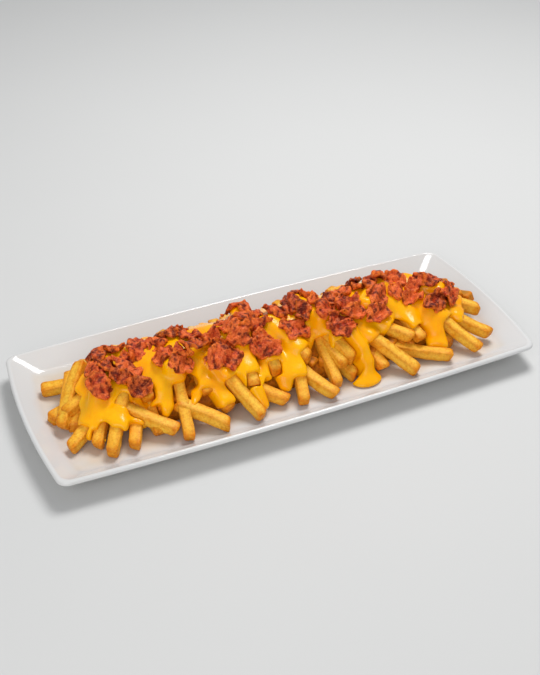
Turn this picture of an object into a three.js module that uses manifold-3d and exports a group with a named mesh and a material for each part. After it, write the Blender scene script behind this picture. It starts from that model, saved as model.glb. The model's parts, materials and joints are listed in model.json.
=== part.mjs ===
// Cheese fries heaped along a long rectangular platter
// Sizes in millimetres, +Z up, the foot of the platter stands on z = 0, its long side along X
import * as THREE from 'three'
import { mergeVertices } from 'three/addons/utils/BufferGeometryUtils.js'
import Module from 'manifold-3d'

const wasm = await Module()
wasm.setup()

// Platter
const platterLength = 388
const platterWidth = 159
const endBow = 6
const sideBow = 4
const cornerRadius = 7
const rimHeight = 20
const wellHeight = 9
const wellInsetEnd = 21
const wellInsetSide = 19
const footHeight = 3.4
const lipThickness = 4.2

// Heap of fries
const heapReach = 180
const heapFront = 66
const heapBack = 56
const heapRise = 44
const ridgeY = 5
const slopePower = 1.3
const coreDepth = 6
const coreDepthTop = 10
const coreFoot = 5.5
const floorGap = 0.3

// Single fry
const frySide = 8.8
const fryCorner = 1.9
const fryEndRound = 1.6

// Cheese sauce
const capDepth = 7
const coatThickness = 1.5
const coatedBelow = 20
const contactGap = 0.35
const capFront = 31
const capBack = 33
const capLeft = -160
const capRight = 172
const poolX = 56
const poolY = -50
const poolLong = 11.5
const poolShort = 9
const poolHeight = 3.2

// Bacon pieces
const baconThickness = 2.3
const baconSpread = 1.1
const baconGap = 0.45

// Fries that show on the front and at both ends
// x, y and z of the tip, yaw, pitch, length, roll, length of bare fry before the sauce begins
const frontFries = [
  [-176, 34, 14, -22, 10, 56, 10, 40],
  [-147, 23, 37, -125, -24, 52, 20, 52],
  [-155, 26, 29, -115, -14, 42, 10, 42],
  [-169, -9, 22, 25, 13, 50, 0, 16],
  [-179, -2, 14, 15, 8, 38, 10, 26],
  [-167, -18, 14, 50, 8, 42, 0, 30],
  [-175, -39, 14, 32, 16, 52, 0, 19],
  [-157, -44, 14, 58, 26, 50, 0, 11],
  [-150, -56, 14, 58, 26, 58, 0, 18],
  [-133, -55, 14, 64, 26, 52, 0, 16],
  [-101, -54, 16, 139, 15, 54, 0, 42],
  [-94, -63, 14, 82, 29, 70, 0, 42],
  [-112, -29, 31, 86, 14, 40, 0, 7],
  [-112, -49, 14, 85, 22, 32, 0, 20],
  [-63, -61, 14, 143, 18, 40, 0, 28],
  [-57, -49, 18, 110, 32, 56, 0, 2],
  [-70, -38, 29, 86, 22, 40, 0, 3],
  [-37, -62, 14, 118, 33, 60, 0, 36],
  [-35, -43, 29, 85, 30, 46, 0, 9],
  [-14, -37, 30, 78, 20, 44, 0, 8],
  [-13, -53, 14, 141, 20, 46, 0, 22],
  [-1, -60, 14, 79, 30, 60, 0, 19],
  [14, -35, 33, 116, 22, 44, 0, 6],
  [24, -62, 14, 120, 20, 40, 0, 28],
  [30, -54, 16, 90, 29, 60, 0, 40],
  [39, -45, 25, 100, 18, 42, 0, 14],
  [48, -48, 14, 120, 20, 30, 0, 18],
  [48, -43, 27, 114, 28, 44, 0, 31],
  [73, -49, 15, 102, 24, 48, 0, 22],
  [95, -62, 14, 126, 23, 64, 0, 40],
  [103, -38, 28, 138, 15, 46, 0, 18],
  [111, -40, 25, 96, 22, 40, 0, 8],
  [129, -56, 14, 153, 9, 56, 0, 46],
  [154, -58, 15, 122, 25, 56, 0, 34],
  [171, -47, 17, 134, 18, 52, 0, 26],
  [176, -21, 23, 154, 14, 50, 0, 15],
  [171, -2, 27, 158, 12, 44, 0, 14],
  [139, -41, 14, 114, 14, 40, 0, 30],
  [99, -37, 16, 122, 14, 40, 0, 30]
]

// Fries set out by rule: low and high row of the far side, right end, sauced ones along the top
const lowRow = 13
const highRow = 6
const endRow = 4
const topRow = 6
const seed = 41

// Runs of sauce down the front: x at the top, y where the run ends, half width, lean along x
const frontRuns = [
  [-152, -30, 9, -8],
  [-146, -39, 9, -6],
  [-134, -44, 8, 2],
  [-100, -38, 9, -6],
  [-77, -43, 5, -4],
  [-36, -52, 8, 3],
  [-23, -46, 7, -8],
  [-6, -46, 8, -4],
  [54, -50, 8, 4],
  [109, -35, 7, -2],
  [126, -44, 9, -4],
  [153, -33, 7, 0]
]
const backRuns = [
  [-128, 46, 8, -3],
  [-92, 52, 8, 2],
  [-48, 45, 7, -2],
  [-6, 50, 9, 3],
  [38, 46, 8, -2],
  [82, 52, 8, 2],
  [124, 46, 7, 3]
]

// Bacon pieces: x, y, yaw, length, width
const baconPlaces = [
  [-137, 14, 106, 16, 11],
  [-144, -1, 126, 15, 10],
  [-133, -5, 103, 14, 13],
  [-145, -18, 114, 16, 13],
  [-123, 18, 106, 17, 10],
  [-118, 2, 119, 11, 9],
  [-120, -10, 121, 21, 11],
  [-128, -18, 162, 15, 9],
  [-117, -27, 177, 15, 11],
  [-106, 7, 73, 20, 15],
  [-93, 5, 177, 14, 11],
  [-81, 13, 93, 19, 15],
  [-93, -13, 171, 15, 12],
  [-86, -25, 169, 19, 10],
  [-82, -18, 147, 11, 10],
  [-76, -17, 141, 11, 8],
  [-65, 1, 5, 19, 12],
  [-67, -15, 7, 18, 8],
  [-53, -5, 9, 16, 9],
  [-38, 2, 123, 24, 12],
  [-48, -16, 113, 17, 12],
  [-52, -28, 163, 24, 14],
  [-36, -17, 175, 16, 11],
  [-13, 13, 19, 19, 15],
  [-22, -1, 174, 16, 10],
  [-16, -8, 10, 24, 7],
  [-17, -18, 159, 13, 11],
  [-16, -27, 168, 20, 12],
  [5, 5, 174, 17, 14],
  [20, 9, 75, 18, 13],
  [12, -16, 175, 22, 14],
  [24, -6, 45, 13, 11],
  [37, 13, 59, 16, 14],
  [38, 1, 76, 13, 12],
  [38, -13, 11, 20, 13],
  [51, 2, 26, 13, 12],
  [46, -26, 127, 20, 15],
  [66, 13, 58, 19, 15],
  [61, -8, 27, 17, 13],
  [61, -19, 173, 19, 10],
  [82, 13, 56, 14, 10],
  [88, 7, 55, 15, 10],
  [99, 11, 55, 18, 10],
  [87, -10, 168, 18, 14],
  [82, -22, 2, 20, 11],
  [115, 11, 84, 21, 12],
  [107, -6, 6, 14, 10],
  [117, -13, 8, 16, 9],
  [127, -1, 38, 18, 10],
  [142, -2, 41, 20, 11],
  [134, -22, 14, 19, 12],
  [152, -14, 45, 21, 14],
  [-70, 22, 100, 15, 12],
  [-22, 24, 30, 16, 12],
  [28, 23, 80, 15, 12],
  [80, 22, 150, 16, 12]
]

const degrees = Math.PI / 180

// Numbers that repeat from one seed to the same series
function series(start) {
  let state = start
  return function next() {
    state = (state + 0x6d2b79f5) | 0
    let t = Math.imul(state ^ (state >>> 15), 1 | state)
    t = (t + Math.imul(t ^ (t >>> 7), 61 | t)) ^ t
    return ((t ^ (t >>> 14)) >>> 0) / 4294967296
  }
}

// Closed body through rings of equal count, with a fan on the first and the last ring
function loft(rings) {
  const count = rings[0].length
  const positions = []
  const index = []
  for (const ring of rings) {
    for (const point of ring) positions.push(point.x, point.y, point.z)
  }
  for (let r = 0; r + 1 < rings.length; r++) {
    for (let i = 0; i < count; i++) {
      const j = (i + 1) % count
      const a = r * count + i
      const b = r * count + j
      index.push(a, b, b + count, a, b + count, a + count)
    }
  }
  const last = (rings.length - 1) * count
  for (let i = 1; i + 1 < count; i++) {
    index.push(0, i + 1, i, last, last + i, last + i + 1)
  }
  const geometry = new THREE.BufferGeometry()
  geometry.setAttribute('position', new THREE.Float32BufferAttribute(positions, 3))
  geometry.setIndex(index)
  return facingOut(geometry)
}

// Six times the volume inside a closed body
function volumeSum(positions, index) {
  let sum = 0
  const a = new THREE.Vector3()
  const b = new THREE.Vector3()
  const c = new THREE.Vector3()
  for (let i = 0; i < index.length; i += 3) {
    a.fromArray(positions, index[i] * 3)
    b.fromArray(positions, index[i + 1] * 3)
    c.fromArray(positions, index[i + 2] * 3)
    sum += a.dot(b.cross(c))
  }
  return sum
}

// Turn all faces outwards
function facingOut(geometry) {
  const index = Array.from(geometry.index.array)
  if (volumeSum(geometry.attributes.position.array, index) < 0) {
    for (let i = 0; i < index.length; i += 3) {
      const swap = index[i]
      index[i] = index[i + 1]
      index[i + 1] = swap
    }
    geometry.setIndex(index)
  }
  return geometry
}

function toSolid(geometry) {
  const plain = geometry.clone()
  plain.deleteAttribute('normal')
  plain.deleteAttribute('uv')
  const merged = mergeVertices(plain, 1e-4)
  const mesh = new wasm.Mesh({
    numProp: 3,
    vertProperties: new Float32Array(merged.attributes.position.array),
    triVerts: new Uint32Array(merged.index.array)
  })
  mesh.merge()
  return new wasm.Manifold(mesh)
}

function unionOf(geometries) {
  let whole = toSolid(geometries[0])
  for (let i = 1; i < geometries.length; i++) whole = whole.add(toSolid(geometries[i]))
  return whole
}

// Largest connected body of a solid: loose scraps are dropped and sealed hollows filled
function mainBody(solid) {
  const mesh = solid.getMesh()
  const stride = mesh.numProp
  const total = mesh.vertProperties.length / stride
  const positions = new Float32Array(total * 3)
  for (let i = 0; i < total; i++) {
    for (let k = 0; k < 3; k++) positions[i * 3 + k] = mesh.vertProperties[i * stride + k]
  }
  let geometry = new THREE.BufferGeometry()
  geometry.setAttribute('position', new THREE.BufferAttribute(positions, 3))
  geometry.setIndex(Array.from(mesh.triVerts))
  geometry = mergeVertices(geometry, 1e-5)
  const index = geometry.index.array
  const parent = Array.from({ length: geometry.attributes.position.count }, (_, i) => i)
  const rootOf = (i) => {
    let node = i
    while (parent[node] !== node) {
      parent[node] = parent[parent[node]]
      node = parent[node]
    }
    return node
  }
  for (let i = 0; i < index.length; i += 3) {
    parent[rootOf(index[i + 1])] = rootOf(index[i])
    parent[rootOf(index[i + 2])] = rootOf(index[i])
  }
  const bodies = new Map()
  for (let i = 0; i < index.length; i += 3) {
    const root = rootOf(index[i])
    if (!bodies.has(root)) bodies.set(root, [])
    bodies.get(root).push(index[i], index[i + 1], index[i + 2])
  }
  let best = []
  let bestVolume = 0
  for (const body of bodies.values()) {
    const volume = volumeSum(geometry.attributes.position.array, body)
    if (volume > bestVolume) {
      bestVolume = volume
      best = body
    }
  }
  geometry.setIndex(best)
  return mergeVertices(geometry.toNonIndexed(), 1e-5)
}

// Rounded rectangle whose four sides bow outwards a little
function platterRing(insetEnd, insetSide, height, radius) {
  const a = platterLength / 2 - insetEnd
  const b = platterWidth / 2 - insetSide
  const ring = []
  const place = (x, y) => {
    const bowX = x * (1 + (endBow / a) * (1 - (y / b) ** 2))
    const bowY = y * (1 + (sideBow / b) * (1 - (x / a) ** 2))
    ring.push(new THREE.Vector3(bowX, bowY, height))
  }
  const corners = [[1, 1, 0], [-1, 1, 90], [-1, -1, 180], [1, -1, 270]]
  const arcSteps = 3
  for (const [sx, sy, start] of corners) {
    const cx = sx * (a - radius)
    const cy = sy * (b - radius)
    for (let i = 0; i <= arcSteps; i++) {
      const angle = (start + (90 * i) / arcSteps) * degrees
      place(cx + radius * Math.cos(angle), cy + radius * Math.sin(angle))
    }
    const alongX = sx === sy
    const steps = alongX ? 6 : 4
    for (let i = 1; i < steps; i++) {
      const t = 1 - (2 * i) / steps
      if (alongX) place(sx * t * (a - radius), sy * b)
      else place(sx * a, sy * t * (b - radius))
    }
  }
  return ring
}

// Platter: foot ring, sloped walls that meet in mitred corners, rounded lip and flat well
function buildPlatter() {
  const wallFoot = wellInsetSide - 2
  const profile = [
    [52, 44, footHeight + 0.6, 10],
    [50, 42, 0, 11],
    [45, 37, 0, 12],
    [43, 35, footHeight, 12],
    [20, 18, 4.8, 8],
    [2.2, 2.2, rimHeight - 4.6, cornerRadius],
    [0.3, 0.3, rimHeight - 3.2, cornerRadius],
    [0, 0, rimHeight - 1.9, cornerRadius],
    [0.6, 0.6, rimHeight - 0.6, cornerRadius],
    [1.8, 1.8, rimHeight, cornerRadius],
    [3.2, 3.2, rimHeight - 0.2, cornerRadius],
    [lipThickness, lipThickness, rimHeight - 1, cornerRadius],
    [wellInsetEnd - 2, wallFoot, wellHeight + 0.9, cornerRadius],
    [wellInsetEnd + 1.5, wallFoot + 3, wellHeight, cornerRadius]
  ]
  return loft(profile.map((row) => platterRing(...row)))
}

// Distance from the ridge to the foot of the heap, towards the front or the back
function heapEdge(x, front) {
  const end = 1 - Math.min(1, Math.abs(x) / heapReach) ** 6
  return (front ? heapFront : heapBack) * Math.sqrt(end) + 0.001
}

// Smooth surface that runs along the heap
function heapTop(x, y) {
  const end = 1 - Math.min(1, Math.abs(x) / heapReach) ** 6
  const side = Math.abs(y - ridgeY) / heapEdge(x, y < ridgeY)
  const round = Math.sqrt(Math.min(1.2, side) ** 2 + 0.02) - Math.sqrt(0.02)
  return wellHeight + heapRise * end * (1 - (round * 1.15) ** slopePower)
}

// Core of the heap that carries the fries
function buildCore() {
  const stations = 13
  const shares = [-1, -0.76, -0.66, -0.34, 0, 0.34, 0.66, 0.76, 1]
  const reach = heapReach - 14
  const rings = []
  for (let s = 0; s <= stations; s++) {
    const x = -reach + (2 * reach * s) / stations
    const front = heapEdge(x, true) - 7
    const back = heapEdge(x, false) - 7
    const ring = []
    for (const share of shares) {
      const y = ridgeY + share * (share < 0 ? front : back)
      const depth = Math.abs(share) > 0.7 ? coreDepth : coreDepthTop
      ring.push(new THREE.Vector3(x, y, Math.max(wellHeight + coreFoot, heapTop(x, y) - depth)))
    }
    ring.push(new THREE.Vector3(x, ridgeY + back, wellHeight + floorGap))
    ring.push(new THREE.Vector3(x, ridgeY - front, wellHeight + floorGap))
    rings.push(ring)
  }
  return loft(rings)
}

// Directions along, across and up a fry
function fryAxes(yaw, pitch, roll) {
  const a = yaw * degrees
  const p = pitch * degrees
  const r = roll * degrees
  const along = new THREE.Vector3(Math.cos(p) * Math.cos(a), Math.cos(p) * Math.sin(a), Math.sin(p))
  const side = new THREE.Vector3(-Math.sin(a), Math.cos(a), 0)
  const up = new THREE.Vector3().crossVectors(along, side)
  const across = side.clone().multiplyScalar(Math.cos(r)).addScaledVector(up, Math.sin(r))
  const high = up.clone().multiplyScalar(Math.cos(r)).addScaledVector(side, -Math.sin(r))
  return { along, across, high }
}

// Bar of rounded square section from one distance along a fry to another, flat where it meets the well
function bar(fry, from, to, side, corner, endRound, floor) {
  const [x, y, z, yaw, pitch, , roll] = fry
  const { along, across, high } = fryAxes(yaw, pitch, roll)
  const tip = new THREE.Vector3(x, y, z)
  const sections = [
    [from, side / 2 - endRound, corner * 0.6],
    [from + endRound, side / 2, corner],
    [to, side / 2, corner]
  ]
  const rings = sections.map(([distance, half, cut]) => {
    const outline = [
      [half, half - cut], [half - cut, half], [cut - half, half], [-half, half - cut],
      [-half, -half], [half, -half]
    ]
    return outline.map(([u, v]) => {
      const point = tip.clone().addScaledVector(along, distance)
      point.addScaledVector(across, u).addScaledVector(high, v)
      point.z = Math.max(point.z, floor)
      return point
    })
  })
  return loft(rings)
}

// Fries of the far side in two rows, of the right end, and sauced ones along the top
function ruledFries() {
  const next = series(seed)
  const fries = []
  for (let i = 0; i < lowRow; i++) {
    const x = -146 + (292 * i) / (lowRow - 1) + 8 * (next() - 0.5)
    const y = ridgeY + heapEdge(x, false) - 3 + 5 * (next() - 0.5)
    const yaw = -90 - x * 0.2 + 60 * (next() - 0.5)
    fries.push([x, y, 14 + 2 * next(), yaw, 20 + 10 * next(), 52 + 10 * next(), 0, 20 + 18 * next()])
  }
  for (let i = 0; i < highRow; i++) {
    const x = -126 + (252 * i) / (highRow - 1) + 10 * (next() - 0.5)
    const y = ridgeY + heapEdge(x, false) * 0.68
    const yaw = -90 - x * 0.15 + 60 * (next() - 0.5)
    fries.push([x, y, heapTop(x, y) + 1, yaw, 14 + 10 * next(), 40, 0, 40])
  }
  for (let i = 0; i < endRow; i++) {
    const yaw = 186 + 10 * i + 8 * (next() - 0.5)
    fries.push([174 - 7 * i, 12 + 11 * i, 15 + 3 * next(), yaw, 12 + 4 * next(), 52, 0, 60])
  }
  for (let i = 0; i < topRow; i++) {
    const x = -138 + (276 * i) / (topRow - 1) + 8 * (next() - 0.5)
    const y = ridgeY - 8 + 14 * (next() - 0.5)
    const yaw = 90 + 120 * (next() - 0.5)
    const rise = heapTop(x, y) - 2.5
    fries.push([x - 18 * Math.cos(yaw * degrees), y - 18 * Math.sin(yaw * degrees), rise, yaw, 0, 36, 0, -1])
  }
  return fries
}

// How far the sauce reaches down the front or the back at a place along the heap
function capEdge(x, runs, base) {
  let reach = base + 3 * Math.sin(x * 0.11) + 2 * Math.sin(x * 0.37 + 1)
  for (const [centre, end, half, lean] of runs) {
    const away = (x - centre - lean * 0.5) / half
    reach += (Math.abs(end - ridgeY) - base) * Math.exp(-away * away)
  }
  return reach
}

// Blanket of sauce over the top of the heap
function buildCap(grow) {
  const stations = 26
  const across = 6
  const floor = wellHeight + 2 * floorGap
  const rings = []
  for (let s = 0; s <= stations; s++) {
    const x = capLeft + ((capRight - capLeft) * s) / stations
    const stretch = s === 0 ? -grow : s === stations ? grow : 0
    const ends = Math.min(1, (x - capLeft) / 16, (capRight - x) / 12)
    const taper = Math.sqrt(Math.max(0.16, 1 - (1 - ends) ** 2))
    const front = Math.min(heapEdge(x, true) - 6, capEdge(x, frontRuns, capFront)) * taper + grow
    const back = Math.min(heapEdge(x, false) - 6, capEdge(x, backRuns, capBack)) * taper + grow
    const upper = []
    const lower = []
    for (let i = 0; i <= across; i++) {
      const t = -1 + (2 * i) / across
      const y = ridgeY + (t < 0 ? t * front : t * back)
      const rim = i === 0 || i === across || s === 0 || s === stations
      const top = Math.max(floor + 3, heapTop(x, y) - (rim ? 2.4 : 0))
      const under = Math.max(floor, top - (rim ? capDepth - 3.4 : capDepth))
      upper.push(new THREE.Vector3(x + stretch, y, top + 1.4 * grow))
      if (i % 3 > 0) continue
      lower.push(new THREE.Vector3(x + stretch, y, Math.max(floor - grow, under - 1.6 * grow)))
    }
    rings.push([...upper, ...lower.reverse()])
  }
  return loft(rings)
}

// Sauce over the upper length of a fry, down to where the fry sinks below the blanket
function coatOf(fry, grow) {
  const [x, y, z, yaw, pitch, length, , bare] = fry
  if (bare > coatedBelow || length - bare < 9) return null
  const { along } = fryAxes(yaw, pitch, 0)
  let end = bare + 10
  while (end < length) {
    const px = x + along.x * end
    const py = y + along.y * end
    if (heapTop(px, py) - z - along.z * end > 5.5) break
    end += 2
  }
  const side = frySide + 2 * (coatThickness + grow)
  const floor = wellHeight + 2 * floorGap - grow
  return bar(fry, bare - grow, Math.min(end, length) + grow, side, 3.6, 2.4, floor)
}

// Pool of sauce that has run down onto the platter
function buildPool(grow) {
  const rings = []
  const levels = [[0.9, -grow], [1, 0.9], [0.93, 2.1 + grow], [0.7, poolHeight + grow]]
  for (const [share, level] of levels) {
    const ring = []
    for (let i = 0; i < 14; i++) {
      const angle = (i * 2 * Math.PI) / 14
      const x = poolX + (poolLong * share + grow) * Math.cos(angle)
      const y = poolY + (poolShort * share + grow) * Math.sin(angle)
      ring.push(new THREE.Vector3(x, y, wellHeight + floorGap + level))
    }
    rings.push(ring)
  }
  return loft(rings)
}

// Thick drip from the blanket down to the pool
function buildDrip(grow) {
  const stops = [
    [49, -30, 40, 9, 6], [52, -40, 31, 8, 5.5], [55, -48, 21, 6.5, 5], [56, -51, 12, 8, 5.5]
  ]
  const rings = stops.map(([x, y, z, wide, deep]) => {
    const ring = []
    for (let i = 0; i < 8; i++) {
      const angle = (i * 2 * Math.PI) / 8
      const across = (wide + grow) * Math.cos(angle)
      const out = (deep + grow) * Math.sin(angle)
      const height = Math.max(wellHeight + 2 * floorGap - grow, z + 0.66 * out)
      ring.push(new THREE.Vector3(x + across, y - 0.75 * out, height))
    }
    return ring
  })
  return loft(rings)
}

// All sauce as one body; with a growth it is the space kept clear round the sauce
function buildSauce(fries, grow) {
  const parts = [buildCap(grow), buildPool(grow), buildDrip(grow)]
  for (const fry of fries) {
    const coat = coatOf(fry, grow)
    if (coat) parts.push(coat)
  }
  return unionOf(parts)
}

// Height of whatever lies highest within a short distance of a place
function restHeight(x, y, meshes, spread) {
  const caster = new THREE.Raycaster()
  const down = new THREE.Vector3(0, 0, -1)
  let height = wellHeight
  for (const dx of [-1, 0, 1]) {
    for (const dy of [-1, 0, 1]) {
      caster.set(new THREE.Vector3(x + dx * spread, y + dy * spread, 120), down)
      const hits = caster.intersectObjects(meshes, false)
      if (hits.length > 0) height = Math.max(height, hits[0].point.z)
    }
  }
  return height
}

// Crumbled bacon piece that lies over what is beneath it
function buildBacon(place, number, meshes) {
  const [cx, cy, yaw, length, width] = place
  const next = series(seed + 13 * number)
  const cells = 4
  const rows = 2
  const lowest = []
  const flat = []
  for (let j = 0; j <= rows; j++) {
    for (let i = 0; i <= cells; i++) {
      const u = (2 * i) / cells - 1
      const v = (2 * j) / rows - 1
      const shrink = baconSpread * (1 - 0.1 * u * u * v * v - 0.14 * next())
      const across = v * (width / 2) * (1 - 0.16 * u * u) * shrink
      const along = u * (length / 2) * (1 - 0.14 * v * v) * shrink
      const x = cx + along * Math.cos(yaw * degrees) - across * Math.sin(yaw * degrees)
      const y = cy + along * Math.sin(yaw * degrees) + across * Math.cos(yaw * degrees)
      flat.push([x, y, (next() - 0.35) * 1.8])
      lowest.push(restHeight(x, y, meshes, 2.3) + baconGap)
    }
  }
  const wide = cells + 1
  for (let pass = 0; pass < 6; pass++) {
    for (let k = 0; k < lowest.length; k++) {
      const i = k % wide
      const near = []
      if (i > 0) near.push(lowest[k - 1])
      if (i < cells) near.push(lowest[k + 1])
      if (k >= wide) near.push(lowest[k - wide])
      if (k + wide < lowest.length) near.push(lowest[k + wide])
      const mean = near.reduce((sum, value) => sum + value, 0) / near.length
      lowest[k] = Math.max(lowest[k], mean - 0.5)
    }
  }
  const positions = []
  const index = []
  const count = lowest.length
  flat.forEach(([x, y, lift], k) => {
    positions.push(x, y, lowest[k] + Math.max(0, lift))
  })
  flat.forEach(([x, y, lift], k) => {
    const i = k % wide
    const j = Math.floor(k / wide)
    const border = i === 0 || i === cells || j === 0 || j === rows
    const thick = border ? baconThickness * 0.55 : baconThickness + 0.6 * Math.abs(lift)
    positions.push(x, y, lowest[k] + Math.max(0, lift) + thick)
  })
  for (let j = 0; j < rows; j++) {
    for (let i = 0; i < cells; i++) {
      const a = j * wide + i
      const b = a + 1
      const c = a + wide
      const d = c + 1
      index.push(a, c, b, b, c, d, a + count, b + count, c + count, b + count, d + count, c + count)
    }
  }
  const border = []
  for (let i = 0; i < cells; i++) border.push(i)
  for (let j = 0; j < rows; j++) border.push(j * wide + cells)
  for (let i = cells; i > 0; i--) border.push(rows * wide + i)
  for (let j = rows; j > 0; j--) border.push(j * wide)
  for (let k = 0; k < border.length; k++) {
    const a = border[k]
    const b = border[(k + 1) % border.length]
    index.push(a, b, b + count, a, b + count, a + count)
  }
  const geometry = new THREE.BufferGeometry()
  geometry.setAttribute('position', new THREE.Float32BufferAttribute(positions, 3))
  geometry.setIndex(index)
  return facingOut(geometry)
}

// Lift a piece in small steps until it is clear of everything that lies below it
function liftClear(geometry, solids) {
  const meets = (solid) => toSolid(geometry).intersect(solid).getMesh().triVerts.length > 0
  while (solids.some(meets)) geometry.translate(0, 0, baconGap)
  return geometry
}

function meshOf(name, geometry, color, roughness) {
  const material = new THREE.MeshStandardMaterial({ color, roughness, metalness: 0, flatShading: true })
  const mesh = new THREE.Mesh(geometry, material)
  mesh.name = name
  mesh.updateMatrixWorld(true)
  return mesh
}

const fries = [...frontFries, ...ruledFries()]
const group = new THREE.Group()
group.name = 'cheese_fries'
group.add(meshOf('platter', buildPlatter(), '#e6e4e0', 0.2))

const sauceSolid = buildSauce(fries, 0)
const keptClear = buildSauce(fries, contactGap)
const friesFloor = wellHeight + floorGap
const bars = fries.filter((fry) => fry[7] > 0).map((fry) => {
  const end = fry[7] > coatedBelow ? fry[5] : fry[7] + 4
  return bar(fry, 0, end, frySide, fryCorner, fryEndRound, friesFloor)
})
const heapSolid = unionOf([buildCore(), ...bars]).subtract(keptClear)
const friesMesh = meshOf('fries', mainBody(heapSolid), '#d9a03c', 0.6)
const sauceMesh = meshOf('cheese', mainBody(sauceSolid), '#f5a800', 0.25)
group.add(friesMesh)
group.add(sauceMesh)

const beneath = [friesMesh, sauceMesh]
const solidsBeneath = [heapSolid, sauceSolid]
baconPlaces.forEach((place, number) => {
  const name = `bacon_${String(number + 1).padStart(2, '0')}`
  const geometry = liftClear(buildBacon(place, number, beneath), solidsBeneath)
  const piece = meshOf(name, geometry, '#a8492a', 0.5)
  group.add(piece)
  beneath.push(piece)
  solidsBeneath.push(toSolid(geometry))
})

export default group
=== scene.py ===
"""Cheese fries on a long white platter: chunky fries, poured cheese sauce and crumbled bacon."""
import json
import math

import bpy
import numpy as np
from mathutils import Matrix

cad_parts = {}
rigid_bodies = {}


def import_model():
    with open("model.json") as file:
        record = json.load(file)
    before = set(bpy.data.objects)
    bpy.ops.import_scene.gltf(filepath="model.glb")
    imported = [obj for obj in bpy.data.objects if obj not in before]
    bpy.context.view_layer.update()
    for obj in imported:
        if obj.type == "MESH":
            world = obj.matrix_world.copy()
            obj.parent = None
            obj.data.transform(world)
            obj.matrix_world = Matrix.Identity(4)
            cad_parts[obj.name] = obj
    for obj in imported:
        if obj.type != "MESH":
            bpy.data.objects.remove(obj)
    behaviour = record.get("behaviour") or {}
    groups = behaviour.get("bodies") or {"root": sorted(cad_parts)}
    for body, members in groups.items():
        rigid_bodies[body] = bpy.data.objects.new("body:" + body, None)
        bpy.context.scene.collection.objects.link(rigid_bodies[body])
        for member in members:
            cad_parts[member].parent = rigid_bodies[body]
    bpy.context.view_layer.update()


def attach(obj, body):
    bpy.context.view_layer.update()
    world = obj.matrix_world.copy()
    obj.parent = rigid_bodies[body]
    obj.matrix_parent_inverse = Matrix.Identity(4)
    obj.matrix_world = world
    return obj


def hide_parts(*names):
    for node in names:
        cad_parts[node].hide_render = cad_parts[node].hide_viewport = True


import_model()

import openvdb
from mathutils import Vector

bl_info = {
    "name": "Cheese fries",
    "version": (1, 0, 0),
    "blender": (4, 5, 0),
    "location": "3D View > Sidebar > Cheese fries",
    "description": "Builds a platter of fries with cheese sauce and crumbled bacon",
    "category": "Object",
}

MM = 0.001

# Platter, in millimetres
PLATTER_LENGTH = 388
PLATTER_WIDTH = 159
END_BOW = 6
SIDE_BOW = 4
CORNER_RADIUS = 7
RIM_HEIGHT = 20
WELL_HEIGHT = 9

# Heap of fries, in millimetres
HEAP_REACH = 180
HEAP_FRONT = 66
HEAP_BACK = 56
HEAP_RISE = 44
RIDGE_Y = 5
SLOPE_POWER = 1.3

# Rows: x, y, z of the tip, yaw, pitch, length, roll, bare length before the sauce begins
FRONT_FRIES = [
    [-176, 34, 14, -22, 10, 56, 10, 40],
    [-147, 23, 37, -125, -24, 52, 20, 52],
    [-155, 26, 29, -115, -14, 42, 10, 42],
    [-169, -9, 22, 25, 13, 50, 0, 16],
    [-179, -2, 14, 15, 8, 38, 10, 26],
    [-167, -18, 14, 50, 8, 42, 0, 30],
    [-175, -39, 14, 32, 16, 52, 0, 19],
    [-157, -44, 14, 58, 26, 50, 0, 11],
    [-150, -56, 14, 58, 26, 58, 0, 18],
    [-133, -55, 14, 64, 14, 52, 0, 16],
    [-101, -54, 17, 139, 16, 54, 0, 49],
    [-94, -63, 14, 82, 29, 70, 0, 42],
    [-112, -29, 31, 86, 14, 40, 0, 7],
    [-112, -49, 14, 85, 22, 32, 0, 20],
    [-63, -61, 14, 143, 18, 40, 0, 28],
    [-57, -49, 18, 110, 32, 56, 0, 2],
    [-70, -38, 29, 86, 22, 40, 0, 3],
    [-37, -62, 14, 118, 33, 60, 0, 36],
    [-35, -43, 29, 85, 30, 46, 0, 9],
    [-14, -37, 30, 78, 20, 44, 0, 8],
    [-13, -53, 14, 141, 20, 46, 0, 22],
    [-1, -60, 14, 79, 30, 60, 0, 19],
    [14, -35, 33, 116, 22, 44, 0, 6],
    [24, -62, 14, 120, 20, 40, 0, 28],
    [30, -54, 16, 90, 29, 60, 0, 40],
    [39, -45, 25, 100, 18, 42, 0, 14],
    [48, -48, 14, 120, 20, 30, 0, 18],
    [48, -43, 27, 114, 28, 44, 0, 18],
    [73, -49, 15, 102, 24, 48, 0, 22],
    [95, -62, 14, 126, 23, 64, 0, 40],
    [103, -38, 28, 138, 15, 46, 0, 18],
    [111, -40, 25, 96, 22, 40, 0, 8],
    [129, -56, 14, 153, 9, 56, 0, 46],
    [154, -58, 15, 122, 25, 56, 0, 34],
    [171, -47, 17, 134, 18, 52, 0, 26],
    [176, -21, 23, 154, 14, 50, 0, 15],
    [171, -2, 27, 158, 12, 44, 0, 14],
    [139, -41, 14, 114, 14, 40, 0, 30],
    [99, -37, 16, 122, 14, 40, 0, 30],
]

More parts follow.
